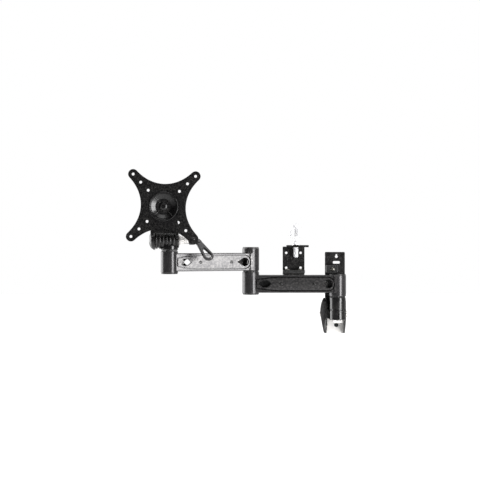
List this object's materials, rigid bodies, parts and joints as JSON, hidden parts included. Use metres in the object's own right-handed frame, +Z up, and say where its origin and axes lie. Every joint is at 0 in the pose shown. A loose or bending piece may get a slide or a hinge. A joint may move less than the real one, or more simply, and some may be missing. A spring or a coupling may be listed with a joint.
{
  "type": "wall monitor arm",
  "caption": "Wall-mounted monitor arm: slotted wall bracket, two swinging arms with cable covers, tilting knuckle with clamp lever, and a star-shaped screen plate.",
  "frame": {"origin": "centre of the wall plate's back face, which lies on the wall", "axes": "+X along the wall to the right seen from the front, +Y into the wall, +Z up; the screen plate faces -Y"},
  "size_m": [0.3658, 0.1218, 0.2714],
  "materials": {
    "grey_paint": "satin dark grey paint on die-cast metal",
    "black_paint": "satin black powder paint",
    "black_plastic": "matt moulded",
    "nylon": "black nylon",
    "zinc": "bright zinc plate",
    "steel": "turned steel",
    "chrome": "bright polished"
  },
  "bodies": {
    "wall_mount": {"wall_plate": "zinc", "foot_plug": "black_plastic", "wall_bracket": "black_paint", "lift_stop": "black_plastic", "lift_stop_screw": "steel", "wall_post": "steel", "wall_post_nut": "zinc", "wall_washer": "nylon", "lock_bolt": "zinc", "lock_washer": "zinc", "lock_nut": "zinc"},
    "lock_lever": {"lock_lever": "grey_paint"},
    "upper_arm": {"upper_arm": "grey_paint", "upper_arm_cover": "grey_paint", "upper_arm_cover_screw_1": "black_paint", "upper_arm_cover_screw_2": "black_paint", "wall_bush_lower": "nylon", "wall_bush_upper": "nylon", "wall_cap": "black_plastic", "elbow_pin": "steel", "elbow_washer": "nylon", "elbow_cap_lower": "black_plastic", "stand_bracket": "black_paint", "stand_pad": "black_plastic", "stand_screw_1": "steel", "stand_screw_2": "steel"},
    "thumb_screw": {"thumb_screw": "chrome"},
    "forearm": {"forearm": "grey_paint", "forearm_cover": "grey_paint", "forearm_cover_screw_1": "black_paint", "forearm_cover_screw_2": "black_paint", "elbow_bush_lower": "nylon", "elbow_bush_upper": "nylon", "elbow_cap_upper": "black_plastic", "head_bush_lower": "nylon", "head_bush_upper": "nylon", "head_washer": "nylon", "head_cap": "black_plastic"},
    "head": {"tilt_knuckle": "black_paint", "swivel_post": "steel", "tilt_bolt": "steel", "tilt_washer": "zinc", "tilt_nut": "zinc", "tilt_spacer": "zinc"},
    "clamp_lever": {"clamp_lever": "grey_paint"},
    "tilt": {"tilt_carrier": "black_paint", "hub_washer": "nylon", "hub_bolt": "black_paint", "hub_spring_washer": "steel", "hub_nut": "black_paint"},
    "screen": {"screen_plate": "black_paint"}
  },
  "joints": [
    {"name": "wall_swing", "type": "hinge", "parent": "wall_mount", "child": "upper_arm", "pos_m": [0.0025, -0.032, 0.0125], "axis": [0, 0, 1], "range_deg": [0, 180]},
    {"name": "elbow_fold", "type": "hinge", "parent": "upper_arm", "child": "forearm", "pos_m": [-0.1425, -0.032, 0.0369], "axis": [0, 0, 1], "range_deg": [-144, 96]},
    {"name": "head_swivel", "type": "hinge", "parent": "forearm", "child": "head", "pos_m": [-0.27496, -0.09098, 0.072], "axis": [0, 0, 1], "range_deg": [-66, 26]},
    {"name": "screen_tilt", "type": "hinge", "parent": "head", "child": "tilt", "pos_m": [-0.28096, -0.09098, 0.0888], "axis": [1, 0, 0], "range_deg": [-15, 15]},
    {"name": "screen_roll", "type": "hinge", "parent": "tilt", "child": "screen", "pos_m": [-0.28336, -0.11698, 0.1428], "axis": [0, 1, 0], "range_deg": [-90, 90]},
    {"name": "lever_turn", "type": "hinge", "parent": "head", "child": "clamp_lever", "pos_m": [-0.23746, -0.09098, 0.0888], "axis": [-1, 0, 0], "range_deg": [0, 90]},
    {"name": "lock_turn", "type": "hinge", "parent": "wall_mount", "child": "lock_lever", "pos_m": [-0.0211, -0.019, -0.035], "axis": [1, 0, 0], "range_deg": [0, 60]},
    {"name": "thumb_turn", "type": "hinge", "parent": "upper_arm", "child": "thumb_screw", "pos_m": [-0.067, -0.034, 0.083], "axis": [0, 0, 1], "continuous": true}
  ]
}
